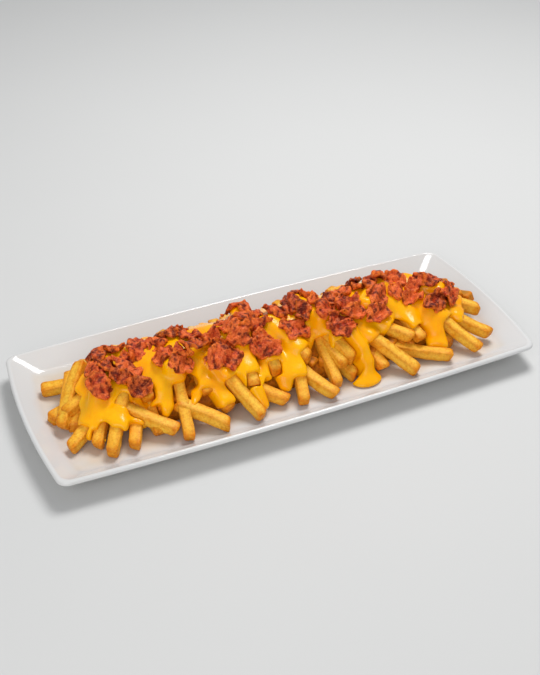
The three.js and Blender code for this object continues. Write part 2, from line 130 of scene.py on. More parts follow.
# Tongues of sauce, each from its top to its end: x, y, half width
FRONT_TONGUES = [
    [(-150, 8, 7), (-157, 3, 6), (-160, -2, 5)],
    [(-148, 0, 9), (-152, -13, 9), (-158, -29, 8)],
    [(-144, -14, 8), (-151, -26, 8), (-156, -37, 7), (-155, -43, 6)],
    [(-143, -24, 7), (-141, -33, 7), (-136, -43, 6)],
    [(-95, -10, 12), (-101, -24, 11), (-104, -35, 8), (-108, -43, 6)],
    [(-74, -26, 5), (-77, -35, 4), (-82, -43, 3.5)],
    [(-38, -26, 9), (-36, -42, 7), (-33, -53, 6)],
    [(-18, -26, 6), (-22, -36, 5), (-28, -43, 4)],
    [(-4, -28, 9), (-7, -38, 8), (-10, -46, 5)],
    [(130, -22, 10), (128, -33, 9), (125, -43, 9)],
    [(111, -20, 7), (108, -29, 6), (108, -35, 5)],
    [(152, -22, 7), (153, -32, 5)],
]
BACK_TONGUES = [
    [(-128, 32, 8), (-129, 40, 7), (-131, 47, 6)],
    [(-92, 32, 9), (-91, 43, 7), (-90, 53, 7)],
    [(-48, 30, 8), (-49, 38, 7), (-50, 46, 6)],
    [(-6, 32, 9), (-4, 42, 8), (-3, 51, 7)],
    [(38, 30, 8), (37, 38, 7), (36, 47, 6)],
    [(82, 32, 9), (83, 43, 7), (84, 53, 7)],
    [(124, 30, 7), (126, 38, 6), (127, 46, 6)],
]
# Drip that reaches the platter: x, y, z, half width
DRIP = [(51, -28, 37, 10), (55, -37, 29, 9), (58, -44, 21, 7.2), (57.5, -48.5, 15, 5.8), (56, -51, 11, 6)]
# Pool under the drip: x, y and its half sizes along X, Y and Z, and the space that it is formed in
POOL = (56, -52, 13.5, 10, 6.0)
POOL_BOX = (36, -68, 7), (76, -34, 22)

# Hollows between the lobes of sauce: x, y, z of the mouth and of the bottom, and the half width
GAPS = [(-151, -44, 25, -143, -22, 15, 4), (-80, -32, 36, -73, -10, 26, 4),
        (101, -32, 33, 99, -10, 26, 3.5), (113, -40, 31, 109, -16, 24, 4)]

# Space in which the sauce is formed, and how far its cap reaches from the ridge and to the ends
SAUCE_BOX = (-172, -68, WELL_HEIGHT - 2), (186, 66, 66)
CAP_FRONT, CAP_BACK, CAP_LEFT, CAP_RIGHT = 29, 33, -158, 168

# Camera: the place it looks at, its turn and rise in degrees, its distance in metres, its lens
AIM = (5.55, 16.9, RIM_HEIGHT)
TURN, RISE, DISTANCE = -24.4, 36.0, 0.8761
LENS, SENSOR = 58.34, 36

# Lights: name, place and size in metres, and share of the light's power
LIGHTS = (("main_light", (0.40, 0.34, 1.15), 0.5, 1.0), ("fill_light", (-0.75, -0.95, 0.6), 1.1, 0.66))

# Tongues are pressed flat by a ratio and stand out by a height
TONGUE_PRESS, TONGUE_HEIGHT = 1.5, 2.2

# Bacon: how far a piece bends down and up with the sauce, share of it that clears it, depth it sinks
BEND_DOWN, BEND_UP, CLEARING, SINKING = -1.5, 2.0, 88, 0.5

# Value far from every surface, and how readily a formed surface merges its flat faces
FAR = 20.0
MERGE_FLAT = 0.02

# Floor round the heap tinted warm, partly as an oil film and partly as painted warm shade, in metres: half
# its length and width, and its highest place
OILY_SHADE_LENGTH, OILY_SHADE_WIDTH, OILY_SHADE_TOP = 0.182, 0.060, 0.013

# Bacon pieces: x, y, yaw, length, width
BACON_PLACES = [
    [-137, 14, 106, 16, 11],
    [-144, -1, 126, 15, 10],
    [-133, -5, 103, 14, 13],
    [-145, -18, 114, 16, 13],
    [-123, 18, 106, 17, 10],
    [-118, 2, 119, 11, 9],
    [-120, -10, 121, 21, 11],
    [-128, -18, 162, 15, 9],
    [-117, -27, 177, 15, 11],
    [-106, 7, 73, 20, 15],
    [-93, 5, 177, 14, 11],
    [-81, 13, 93, 19, 15],
    [-93, -13, 171, 15, 12],
    [-86, -25, 169, 19, 10],
    [-82, -18, 147, 11, 10],
    [-76, -17, 141, 11, 8],
    [-65, 1, 5, 19, 12],
    [-67, -15, 7, 18, 8],
    [-53, -5, 9, 16, 9],
    [-38, 2, 123, 24, 12],
    [-48, -16, 113, 17, 12],
    [-52, -28, 163, 24, 14],
    [-36, -17, 175, 16, 11],
    [-13, 13, 19, 19, 15],
    [-22, -1, 174, 16, 10],
    [-16, -8, 10, 24, 7],
    [-17, -18, 159, 13, 11],
    [-16, -27, 168, 20, 12],
    [5, 5, 174, 17, 14],
    [20, 9, 75, 18, 13],
    [12, -16, 175, 22, 14],
    [24, -6, 45, 13, 11],
    [37, 13, 59, 16, 14],
    [38, 1, 76, 13, 12],
    [38, -13, 11, 20, 13],
    [51, 2, 26, 13, 12],
    [46, -26, 127, 20, 15],
    [66, 13, 58, 19, 15],
    [61, -8, 27, 17, 13],
    [61, -19, 173, 19, 10],
    [82, 13, 56, 14, 10],
    [88, 7, 55, 15, 10],
    [99, 11, 55, 18, 10],
    [87, -10, 168, 18, 14],
    [82, -22, 2, 20, 11],
    [115, 11, 84, 21, 12],
    [107, -6, 6, 14, 10],
    [117, -13, 8, 16, 9],
    [127, -1, 38, 18, 10],
    [142, -2, 41, 20, 11],
    [134, -22, 14, 19, 12],
    [152, -14, 45, 21, 14],
    [-70, 22, 100, 15, 12],
    [-22, 24, 30, 16, 12],
    [28, 23, 80, 15, 12],
    [80, 22, 150, 16, 12],
]


# Numbers and noise

def series(start):
    """Numbers from 0 to 1 that repeat from one seed to the same series."""
    state = start

    def following():
        nonlocal state
        state = (state + 0x6D2B79F5) & 0xFFFFFFFF
        t = ((state ^ (state >> 15)) * (1 | state)) & 0xFFFFFFFF
        t = ((t + (((t ^ (t >> 7)) * (61 | t)) & 0xFFFFFFFF)) & 0xFFFFFFFF) ^ t
        return ((t ^ (t >> 14)) & 0xFFFFFFFF) / 4294967296

    return following


LATTICE = np.random.default_rng(7).uniform(-1, 1, (32, 32, 32)).astype(np.float32)


def noise(x, y, z, size, shift=0):
    """Smooth noise from -1 to 1 whose features measure about size."""
    parts = []
    for value in np.broadcast_arrays(x, y, z):
        value = np.asarray(value, np.float32) / size + 13.7 + shift * 5.31
        whole = np.floor(value)
        part = value - whole
        parts.append((whole.astype(np.int64), part * part * (3 - 2 * part)))
    (i, u), (j, v), (k, w) = parts
    total = 0
    for a in (0, 1):
        for b in (0, 1):
            for c in (0, 1):
                weight = (u if a else 1 - u) * (v if b else 1 - v) * (w if c else 1 - w)
                total = total + weight * LATTICE[(i + a) % 32, (j + b) % 32, (k + c) % 32]
    return total


# Shape of the heap

def heap_end(x):
    """Share of its full size that the heap has at a place along it."""
    return 1 - np.minimum(1, np.abs(x) / HEAP_REACH) ** 6


def heap_edge(x, front):
    return np.where(front, HEAP_FRONT, HEAP_BACK) * np.sqrt(heap_end(x)) + 0.001


def heap_top(x, y):
    side = np.abs(y - RIDGE_Y) / heap_edge(x, y < RIDGE_Y)
    blunt = 0.02
    round_ = np.sqrt(np.minimum(1.2, side) ** 2 + blunt) - math.sqrt(blunt)
    return WELL_HEIGHT + HEAP_RISE * heap_end(x) * (1 - (round_ * 1.15) ** SLOPE_POWER)


def ruled_fries(seed, low_row=13, high_row=6, end_row=4, top_row=6):
    """Fries of the far side in two rows, of the right end, and sauced ones along the top."""
    following = series(seed)
    fries = []

    def swing(size):
        return size * (following() - 0.5)

    def spread(reach, i, count):
        return -reach + 2 * reach * i / (count - 1)

    for i in range(low_row):
        x = spread(146, i, low_row) + swing(8)
        y = RIDGE_Y + float(heap_edge(x, False)) - 3 + swing(5)
        yaw = -90 - x * 0.2 + swing(60)
        fries.append([x, y, 14 + 2 * following(), yaw, 20 + 10 * following(),
                      52 + 10 * following(), 0, 20 + 18 * following()])
    for i in range(high_row):
        x = spread(126, i, high_row) + swing(10)
        y = RIDGE_Y + float(heap_edge(x, False)) * 0.68
        yaw = -90 - x * 0.15 + swing(60)
        fries.append([x, y, float(heap_top(x, y)) + 1, yaw, 14 + 10 * following(), 40, 0, 12])
    for i in range(end_row):
        yaw = 186 + 10 * i + swing(8)
        fries.append([174 - 7 * i, 12 + 11 * i, 15 + 3 * following(), yaw,
                      12 + 4 * following(), 52, 0, 26])
    for i in range(top_row):
        x = spread(138, i, top_row) + swing(8)
        y = RIDGE_Y - 8 + swing(14)
        yaw = 90 + swing(120)
        a = math.radians(yaw)
        rise = float(heap_top(x, y)) - 2.5
        fries.append([x - 18 * math.cos(a), y - 18 * math.sin(a), rise, yaw, 0, 36, 0, -1])
    return fries


def filler_fries(seed, count):
    """Fries deeper in the heap, seen only through the gaps between the others."""
    following = series(seed)
    fries = []
    for i in range(count):
        x = -158 + 316 * (i + following()) / count
        front = i % 2 > 0
        edge = float(heap_edge(x, front))
        share = (0.4 if front else 0.5) + 0.3 * following()
        y = RIDGE_Y + (-edge if front else edge) * share
        z = max(13.6, float(heap_top(x, y)) - 9 - 2 * following())
        yaw = (90 if front else -90) + 110 * (following() - 0.5)
        pitch = 4 + 14 * following()
        length = 40 + 14 * following()
        fries.append([x, y, z, yaw, pitch, length, 0, length])
    return fries


def fry_axes(yaw, pitch, roll):
    a, p, r = math.radians(yaw), math.radians(pitch), math.radians(roll)
    along = np.array([math.cos(p) * math.cos(a), math.cos(p) * math.sin(a), math.sin(p)])
    side = np.array([-math.sin(a), math.cos(a), 0])
    up = np.cross(along, side)
    return along, side * math.cos(r) + up * math.sin(r), up * math.cos(r) - side * math.sin(r)


# Meshes

def make_object(name, vertices, faces, material, smooth=True):
    """Object at the origin, its mesh in metres, from vertices in millimetres."""
    mesh = bpy.data.meshes.new(name)
    mesh.from_pydata((np.asarray(vertices, float) * MM).tolist(), [], faces)
    mesh.update()
    if smooth:
        mesh.shade_smooth()
    mesh.materials.append(material)
    piece = bpy.data.objects.new(name, mesh)
    bpy.context.collection.objects.link(piece)
    return piece


def add_attribute(mesh, name, values, kind="FLOAT"):
    """Value that a mesh holds for each vertex."""
    layer = mesh.attributes.new(name, kind, "POINT")
    values = np.ravel(values).astype(np.int32 if kind == "INT" else np.float32)
    layer.data.foreach_set("vector" if kind == "FLOAT_VECTOR" else "value", values)


def facing_out(vertices, faces):
    """The faces of a closed mesh, all turned round if they point inwards."""
    v = np.asarray(vertices, float)
    volume = 0
    for face in faces:
        for k in range(1, len(face) - 1):
            volume += np.dot(v[face[0]], np.cross(v[face[k]], v[face[k + 1]]))
    return [face[::-1] for face in faces] if volume < 0 else faces


def loft_faces(vertices, count):
    """Faces of a closed form whose vertices are rings of the same count."""
    faces = []
    for a in range(0, len(vertices) - count, count):
        for i in range(count):
            j = (i + 1) % count
            faces.append((a + i, a + j, a + count + j, a + count + i))
    faces.append(tuple(range(count))[::-1])
    faces.append(tuple(range(len(vertices) - count, len(vertices))))
    return facing_out(vertices, faces)


def make_lofted(name, rings, material):
    vertices = np.concatenate(rings)
    return make_object(name, vertices, loft_faces(vertices, len(rings[0])), material)


# Volumes sampled on a grid, for the sauce and the bacon

def smooth_min(a, b, blend):
    h = np.maximum(blend - np.abs(a - b), 0) / blend
    return np.minimum(a, b) - h * h * blend * 0.25


def smooth_max(a, b, blend):
    return -smooth_min(-a, -b, blend)


class Volume:
    """Distance values on a regular grid; negative is inside."""

    def __init__(self, low, high, step):
        self.low = np.asarray(low, float)
        self.step = step
        self.count = np.ceil((np.asarray(high, float) - self.low) / step).astype(int) + 1
        self.values = np.full(self.count, FAR, np.float32)

    def block(self, low, high):
        """Part of the grid between two corners, and the places along X, Y and Z that it covers."""
        first = np.clip(np.floor((np.asarray(low) - self.low) / self.step), 0, self.count - 1)
        last = np.clip(np.ceil((np.asarray(high) - self.low) / self.step) + 1, 1, self.count)
        spans = tuple(slice(int(a), int(b)) for a, b in zip(first, last))
        axes = [self.low[k] + self.step * np.arange(int(first[k]), int(last[k])) for k in range(3)]
        x, y, z = np.meshgrid(*[axis.astype(np.float32) for axis in axes], indexing="ij", sparse=True)
        return spans, x, y, z

    def join(self, low, high, shape, blend):
        spans, x, y, z = self.block(low, high)
        self.values[spans] = smooth_min(self.values[spans], shape(x, y, z), blend)

    def cut(self, low, high, shape, blend):
        spans, x, y, z = self.block(low, high)
        self.values[spans] = smooth_max(self.values[spans], -shape(x, y, z), blend)

    def soften(self, passes):
        """Blend each value with its two neighbours, along X, Y and Z in turn."""
        d = self.values
        for axis in (0, 1, 2) * passes:
            at = np.arange(d.shape[axis])
            before, after = d.take(np.maximum(at - 1, 0), axis), d.take(np.minimum(at + 1, at[-1]), axis)
            d = 0.5 * d + 0.25 * (before + after)
        self.values = d

    def surface(self):
        """Vertices in millimetres and faces of the closed surface where the value is zero."""
        band = 3 * self.step
        grid = openvdb.FloatGrid(band)
        grid.copyFromArray(np.clip(self.values, -band, band).astype(np.float64))
        points, triangles, quads = grid.convertToPolygons(isovalue=0.0, adaptivity=MERGE_FLAT)
        vertices = np.asarray(points, float) * self.step + self.low
        return vertices, facing_out(vertices, [tuple(f) for f in triangles.tolist() + quads.tolist()])


def capsule(a, b, radius_a, radius_b):
    """Distance to a tapered rod with round ends."""
    a, b = np.asarray(a, np.float32), np.asarray(b, np.float32)
    line = b - a
    length = float(line @ line)

    def shape(x, y, z):
        t = ((x - a[0]) * line[0] + (y - a[1]) * line[1] + (z - a[2]) * line[2]) / length
        t = np.clip(t, 0, 1)
        away = np.sqrt((x - a[0] - t * line[0]) ** 2 + (y - a[1] - t * line[1]) ** 2
                       + (z - a[2] - t * line[2]) ** 2)
        return away - (radius_a + (radius_b - radius_a) * t)

    return shape


def squashed(shape, centre, ratio):
    """The same shape pressed flatter by a ratio about a height."""
    return lambda x, y, z: shape(x, y, centre + (z - centre) * ratio)


def fry_frame(fry, x, y, z):
    """Distances of places along, across and above a fry's middle line."""
    along, across, high = fry_axes(*fry[3:5], fry[6])
    dx, dy, dz = x - fry[0], y - fry[1], z - fry[2]
    return tuple(dx * axis[0] + dy * axis[1] + dz * axis[2] for axis in (along, across, high))


def box_round(a, b, margin):
    """Low and high corner of the box round two places."""
    return np.minimum(a, b) - margin, np.maximum(a, b) + margin


def fry_reach(fry, length, margin):
    start = np.array(fry[:3], float)
    return box_round(start, start + fry_axes(*fry[3:5], fry[6])[0] * length, margin)


def fry_body(fry, side):
    """Distance to a whole fry."""
    length = fry[5]
    rounding = 2.0

    def shape(x, y, z):
        s, u, v = fry_frame(fry, x, y, z)
        qs = np.abs(s - length / 2) - (length / 2 - rounding)
        qu = np.abs(u) - (side / 2 - rounding)
        qv = np.abs(v) - (side / 2 - rounding)
        outside = np.sqrt(np.maximum(qs, 0) ** 2 + np.maximum(qu, 0) ** 2 + np.maximum(qv, 0) ** 2)
        return outside + np.minimum(np.maximum(np.maximum(qs, qu), qv), 0) - rounding

    return shape


def coat(fry, side, thickness):
    """Distance to the sauce that covers a fry from its bare length on, with a thicker lip."""
    bare = fry[7]
    body = fry_body(fry, side)

    def shape(x, y, z):
        s, u, v = fry_frame(fry, x, y, z)
        d = body(x, y, z) - thickness - 0.7 * np.exp(-((s - bare - 3.5) / 3.5) ** 2)
        edge = bare + 1.2 * noise(u, v, fry[0], 5.0) - 0.25 * v - s
        return smooth_max(d, edge, 3.0) if bare > 0 else d

    return shape


def bare_space(fry, side):
    """Distance to the bare length of a fry and the space close over it."""
    def shape(x, y, z):
        s, u, v = fry_frame(fry, x, y, z)
        end = fry[7] + 0.8 * noise(u, v, fry[0], 5.0) - 0.25 * v
        d = np.maximum(np.maximum(s - end, -3 - s), np.abs(u) - side / 2 - 0.3)
        return np.maximum(d, np.maximum(v - side / 2 - 8, -v - side / 2))

    return shape


def cap_edge(x, base):
    """How far the sauce over the ridge reaches down at a place along the heap."""
    return base + 3 * np.sin(x * 0.11) + 2 * np.sin(x * 0.37 + 1)


# Nodes and materials

def new_node(tree, kind, inputs=None, **choices):
    """New node of a tree, its inputs linked to outputs or given a value or a colour."""
    node = tree.nodes.new(kind)
    for name, value in choices.items():
        setattr(node, name, value)
    for key, value in (inputs or {}).items():
        socket = node.inputs[key]
        if isinstance(value, bpy.types.NodeSocket):
            tree.links.new(value, socket)
        else:
            socket.default_value = (*value, 1) if socket.type == "RGBA" else value
    return node


def scaled(color, factors):
    """A colour times one number, or times one each for red, green and blue."""
    return tuple(np.multiply(color, factors))


class Finish:
    """A material in the making, from the patterns in its tree to its shader."""

    def __init__(self, name):
        self.material = bpy.data.materials.new(name)
        self.material.use_nodes = True
        self.tree = self.material.node_tree
        self.place = new_node(self.tree, "ShaderNodeTexCoord").outputs["Object"]

    def noise(self, scale, detail, roughness=0.55):
        inputs = {"Vector": self.place, "Scale": scale, "Detail": detail, "Roughness": roughness}
        return new_node(self.tree, "ShaderNodeTexNoise", inputs).outputs["Fac"]

    def mark(self, name):
        """Value that the mesh holds for each vertex."""
        return new_node(self.tree, "ShaderNodeAttribute", attribute_name=name).outputs["Fac"]

    def ramp(self, factor, *stops):
        """Colours or greys, each at its place from 0 to 1, that a factor blends."""
        node = new_node(self.tree, "ShaderNodeValToRGB", {"Fac": factor})
        elements = node.color_ramp.elements
        while len(elements) < len(stops):
            elements.new(0.5)
        for element, (place, color) in zip(elements, stops):
            element.position = place
            element.color = (*(color if np.ndim(color) else (color,) * 3), 1)
        return node.outputs["Color"]

    def mix(self, factor, a, b, kind="MIX"):
        inputs = {"Factor": factor, 6: a, 7: b}
        return new_node(self.tree, "ShaderNodeMix", inputs, data_type="RGBA", blend_type=kind).outputs[2]

    def work(self, operation, a, b=0.0):
        """Result of a calculation, which all but ADD keep from 0 to 1."""
        choices = {"operation": operation, "use_clamp": operation != "ADD"}
        return new_node(self.tree, "ShaderNodeMath", {0: a, 1: b}, **choices).outputs[0]

    def times(self, a, b):
        return self.work("MULTIPLY", a, b)

    def finished(self, color, levels, *bumps):
        """The material, with the shader's own levels set and each bump laid over the last."""
        shader = self.tree.nodes["Principled BSDF"]
        self.tree.links.new(color, shader.inputs["Base Color"])
        for name, value in levels.items():
            shader.inputs[name].default_value = value
        under = {}
        for height, distance, strength in bumps:
            inputs = {"Height": height, "Distance": distance, "Strength": strength, **under}
            under = {"Normal": new_node(self.tree, "ShaderNodeBump", inputs).outputs["Normal"]}
            self.tree.links.new(under["Normal"], shader.inputs["Normal"])
        return self.material


def glazed_porcelain(color, roughness):
    """White glaze, warmer in patches, with a faint warm tint on the floor near the heap that is partly an
    oil film and partly painted warm shade.
    """
    look = Finish("glazed_porcelain")
    shade = look.ramp(look.noise(14, 2), (0.35, scaled(color, (1.0, 0.99, 0.975))), (0.65, color))
    x, y, z = new_node(look.tree, "ShaderNodeSeparateXYZ", {"Vector": look.place}).outputs
    along = look.times(look.work("ABSOLUTE", x), 0.5 / OILY_SHADE_LENGTH)
    across = look.times(look.work("ABSOLUTE", y), 0.5 / OILY_SHADE_WIDTH)
    from_heap = look.work("MAXIMUM", along, across)
    from_heap = look.work("ADD", from_heap, look.times(look.noise(45, 2), 0.1))
    near = look.ramp(from_heap, (0.49, 0.45), (0.58, 0))
    low = look.times(look.work("SUBTRACT", OILY_SHADE_TOP, z), 400)
    # Painted warm shade: the low floor near and under the heap is tinted orange, together with an oil film.
    shade = look.mix(look.times(near, low), shade, scaled(color, (1.0, 0.72, 0.40)))
    levels = {"Roughness": roughness, "IOR": 1.5}
    return look.finished(shade, levels, (look.noise(60, 2), 0.00006, 0.6))


def fried_potato(light, brown):
    """Golden crust, browner in patches and along the edges, and darkened deep in the heap as painted shade.
    """
    look = Finish("fried_potato")
    deep = scaled(brown, (0.82, 0.6, 0.3))
    base = look.ramp(look.noise(190, 3, 0.6), (0.30, brown), (0.50, light))
    tone = look.mark("tone")
    # A tone from 0 to 1 browns a fry at random; tones above 1, given to the fries deep in the heap, brown
    # and darken them as painted shade.
    base = look.mix(look.times(tone, 0.4), base, brown)
    base = look.mix(look.work("SUBTRACT", tone, 1.0), base, scaled(deep, 0.22))
    crisp = look.times(look.mark("edge"), look.noise(330, 3))
    base = look.mix(look.times(crisp, 1.9), base, deep)
    speck = look.noise(620, 3, 0.7)
    grain = look.ramp(speck, (0.36, (0.78, 0.64, 0.42)), (0.54, 1))
    base = look.mix(0.75, base, grain, "MULTIPLY")
    levels = {"Roughness": 0.5, "Specular IOR Level": 0.22, "Subsurface Weight": 0.1,
              "Subsurface Radius": (0.004, 0.002, 0.0008), "Subsurface Scale": 1.0}
    return look.finished(base, levels, (look.noise(420, 4), 0.0004, 0.6), (speck, 0.0003, 0.6))


def cheese_sauce(color, shade):
    """Smooth yellow sauce that light sinks into a little."""
    look = Finish("cheese_sauce")
    base = look.ramp(look.noise(45, 3), (0.3, shade), (0.62, color))
    levels = {"Roughness": 0.2, "Specular IOR Level": 0.27, "Subsurface Weight": 0.2,
              "Subsurface Radius": (0.005, 0.0024, 0.0002), "Subsurface Scale": 1.0}
    return look.finished(base, levels, (look.noise(120, 3), 0.0006, 0.5), (look.noise(520, 2), 0.00012, 0.5))


def fried_bacon(dark, red, pink, fat):
    """Lean with paler bands, painted shade in its hollows, a painted highlight on its crests, and browned at
    the rims.
    """
    look = Finish("fried_bacon")
    patch = look.noise(210, 2)
    depth = look.work("ADD", look.times(look.mark("tone"), 0.5), patch)
    base = look.ramp(depth, (0.5, dark), (0.7, red), (1.0, pink))
    base = look.mix(look.ramp(look.mark("fat"), (0.62, 0), (0.95, 0.7)), base, pink)
    rim = look.times(look.times(look.mark("rim"), 0.75), look.ramp(patch, (0.4, 0), (0.6, 1)))
    base = look.mix(rim, base, fat)
    grain = look.mark("grain")
    # Painted shade: the hollows of the grain are darkened.
    base = look.mix(look.ramp(grain, (0.22, 0.9), (0.47, 0)), base, dark)
    # Painted highlight: the crests of the grain are lightened.
    base = look.mix(look.ramp(grain, (0.58, 0), (0.85, 0.5)), base, np.minimum(1.0, scaled(pink, 1.3)))
    speck = look.noise(900, 3, 0.7)
    base = look.mix(0.75, base, look.ramp(speck, (0.38, (0.6, 0.4, 0.34)), (0.52, 1)), "MULTIPLY")
    base = look.mix(look.ramp(speck, (0.54, 0), (0.68, 0.5)), base, (0.92, 0.28, 0.09))
    return look.finished(base, {"Roughness": 0.36, "Specular IOR Level": 0.16}, (speck, 0.0006, 0.8))


def plain_floor(color):
    look = Finish("pale_floor")
    tint = look.ramp(look.noise(3, 2), (0.3, scaled(color, 0.985)), (0.7, color))
    return look.finished(tint, {"Roughness": 0.7})


# Settings that a user would change

def length_property(name, description, default):
    return bpy.props.FloatProperty(name=name, description=description, default=default * MM,
                                   min=0.0, precision=4, unit="LENGTH")


def color_property(name, description, default):
    return bpy.props.FloatVectorProperty(name=name, description=description, default=default,
                                         size=3, min=0.0, max=1.0, subtype="COLOR")


class PlatterSettings(bpy.types.PropertyGroup):
    lip: length_property("Lip", "Thickness of the rounded lip", 4.2)
    color: color_property("Glaze", "Colour of the glaze", (0.66, 0.66, 0.655))
    roughness: bpy.props.FloatProperty(name="Roughness", description="Roughness of the glaze",
                                       default=0.12, min=0.0, max=1.0, subtype="FACTOR")


class FriesSettings(bpy.types.PropertyGroup):
    side: length_property("Side", "Side of a fry's square section", 8.8)
    light: color_property("Light", "Pale parts of the fries", (0.94, 0.575, 0.06))
    brown: color_property("Brown", "Browned parts of the fries", (0.86, 0.375, 0.012))
    fillers: bpy.props.IntProperty(name="Fillers", description="Fries deeper in the heap",
                                   default=64, min=0, max=200)
    seed: bpy.props.IntProperty(name="Seed", description="Seed of the fries set out by rule", default=41)


class SauceSettings(bpy.types.PropertyGroup):
    step: length_property("Grid step", "Spacing of the grid on which the sauce is formed", 0.9)
    thickness: length_property("Thickness", "Thickness of sauce on a fry", 2.4)
    color: color_property("Sauce", "Colour of the sauce", (1.0, 0.465, 0.0004))
    shade: color_property("Shade", "Deeper colour of the sauce", (1.0, 0.35, 0.0002))


class BaconSettings(bpy.types.PropertyGroup):
    step: length_property("Grid step", "Spacing of the grid on which a piece is formed", 0.78)
    spread: bpy.props.FloatProperty(name="Spread", description="Size of the pieces against their places",
                                    default=1.25, min=0.5, max=2.0)
    dark: color_property("Dark", "Deepest parts of the bacon", (0.13, 0.007, 0.001))
    red: color_property("Red", "Lean parts of the bacon", (0.50, 0.040, 0.006))
    pink: color_property("Pink", "Paler parts of the bacon", (0.80, 0.15, 0.032))
    fat: color_property("Fat", "Browned fat along the rims of the bacon", (0.88, 0.21, 0.006))


class StageSettings(bpy.types.PropertyGroup):
    floor: color_property("Floor", "Colour of the floor", (0.62, 0.62, 0.61))
    light: bpy.props.FloatProperty(name="Light", description="Power of the main light", default=12.0,
                                   min=0.0, unit="POWER")


# Platter

def platter_ring(inset_end, inset_side, height, radius):
    """Rounded rectangle whose four sides bow outwards a little."""
    a = PLATTER_LENGTH / 2 - inset_end
    b = PLATTER_WIDTH / 2 - inset_side
    corner_steps, long_steps, short_steps = 8, 26, 12
    ring = []

    def place(x, y):
        ring.append((x * (1 + END_BOW / a * (1 - (y / b) ** 2)),
                     y * (1 + SIDE_BOW / b * (1 - (x / a) ** 2)), height))

    for sx, sy, start in ((1, 1, 0), (-1, 1, 90), (-1, -1, 180), (1, -1, 270)):
        for i in range(corner_steps + 1):
            angle = math.radians(start + 90 * i / corner_steps)
            place(sx * (a - radius) + radius * math.cos(angle), sy * (b - radius) + radius * math.sin(angle))
        steps = long_steps if sx == sy else short_steps
        for i in range(1, steps):
            t = 1 - 2 * i / steps
            if sx == sy:
                place(sx * t * (a - radius), sy * b)
            else:
                place(sx * a, sy * t * (b - radius))
    return ring


def rounded_profile(rows, reach):
    """Profile with each inner corner replaced by a short curve."""
    out = [rows[0]]
    for before, here, after in zip(rows, rows[1:], rows[2:]):
        before, here, after = (np.asarray(row, float) for row in (before, here, after))
        one, two = before - here, after - here
        r1 = min(0.45, reach / max(np.linalg.norm(one[[0, 2]]), 1e-6))
        r2 = min(0.45, reach / max(np.linalg.norm(two[[0, 2]]), 1e-6))
        start, end = here + one * r1, here + two * r2
        for t in (0.0, 0.33, 0.67, 1.0):
            out.append(list((1 - t) ** 2 * start + 2 * t * (1 - t) * here + t * t * end))
    out.append(rows[-1])
    return out


class OBJECT_OT_make_platter(bpy.types.Operator):
    """Make the porcelain platter with foot ring, sloped walls, rounded lip and flat well"""
    bl_idname = "object.make_platter"
    bl_label = "Make platter"

    def execute(self, context):
        settings = context.scene.platter_settings
        lip = settings.lip / MM
        # Rows: inset at the ends and at the sides, height, and then the radius of the corners
        under = [
            [60, 52, 4.0, 10], [52, 44, 4.0, 10], [50, 42, 0, 11],
            [45, 37, 0, 12], [43, 35, 3.4, 12], [20, 18, 4.8, 8],
        ]
        upper = [
            [2.2, 2.2, RIM_HEIGHT - 4.6], [0.3, 0.3, RIM_HEIGHT - 3.2], [0, 0, RIM_HEIGHT - 1.9],
            [0.6, 0.6, RIM_HEIGHT - 0.6], [1.8, 1.8, RIM_HEIGHT], [3.2, 3.2, RIM_HEIGHT - 0.2],
            [lip, lip, RIM_HEIGHT - 1], [19, 17, WELL_HEIGHT + 0.9], [22.5, 20, WELL_HEIGHT],
            [34, 31, WELL_HEIGHT],
        ]
        rows = under + [row + [CORNER_RADIUS] for row in upper]
        rings = [platter_ring(*row) for row in rounded_profile(rows, 1.6)]
        piece = make_lofted("platter_glazed", rings, glazed_porcelain(settings.color, settings.roughness))
        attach(piece, "root")
        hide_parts("platter")
        return {"FINISHED"}


# Fries

def fry_kind(length, side, seed):
    """One fry lying along X from the origin, with how near each vertex is to an edge."""
    rng = np.random.default_rng(seed)
    half = side / 2
    corner = rng.uniform(1.0, 1.6)
    flat = half - corner
    corner_mark, side_mark, end_mark = 0.55, 0.2, 0.7
    outline = []
    for start, sx, sy in ((0, 1, 1), (90, -1, 1), (180, -1, -1), (270, 1, -1)):
        for i in range(4):
            angle = math.radians(start + 90 * i / 3)
            outline.append((sx * flat + corner * math.cos(angle),
                            sy * flat + corner * math.sin(angle), corner_mark))
        for t in (0.5, 0.0, -0.5):
            place = (sx * flat * t, sy * half) if sx == sy else (sx * half, sy * flat * t)
            outline.append((*place, side_mark if t else 0.0))
    # Rounded tip: distance from the end, and the section's share of its full size
    tip = [(-1.3, 0.5), (-1.2, 0.72), (-0.5, 0.88), (0.6, 0.965), (2.2, 1.0)]
    shoulder = tip[-1][0]
    inner = length - 2 * shoulder
    count = max(10, int(inner / 2.6))
    stations = tip + [(shoulder + inner * i / count, 1.0) for i in range(1, count)]
    stations += [(length - x, scale) for x, scale in tip[::-1]]
    bend = rng.uniform(-1.6, 1.6, 2)
    taper = rng.uniform(-0.05, 0.05)
    slant = rng.uniform(-0.2, 0.2, 2)
    vertices, edges = [], []
    for x, scale in stations:
        t = x / length
        size = scale * (1 + taper * (t - 0.5))
        bow = bend * 4 * t * (1 - t)
        near_end = min(1.0, max(0.0, 1 - min(x, length - x) / 3.5))
        for y, z, edge in outline:
            cut = (slant[0] * y + slant[1] * z) * (near_end if x < length / 2 else -near_end)
            vertices.append((x + cut, y * size + bow[0], z * size + bow[1]))
            edges.append(min(1.0, edge + end_mark * near_end))
    v = np.array(vertices)
    for size, amount in ((7.0, 0.38), (3.2, 0.2), (1.6, 0.08)):
        for axis, share in enumerate((0.4, 1, 1)):
            v[:, axis] += share * amount * noise(*v.T, size, 3.1 * seed + axis)
    return v, loft_faces(v, len(outline)), edges


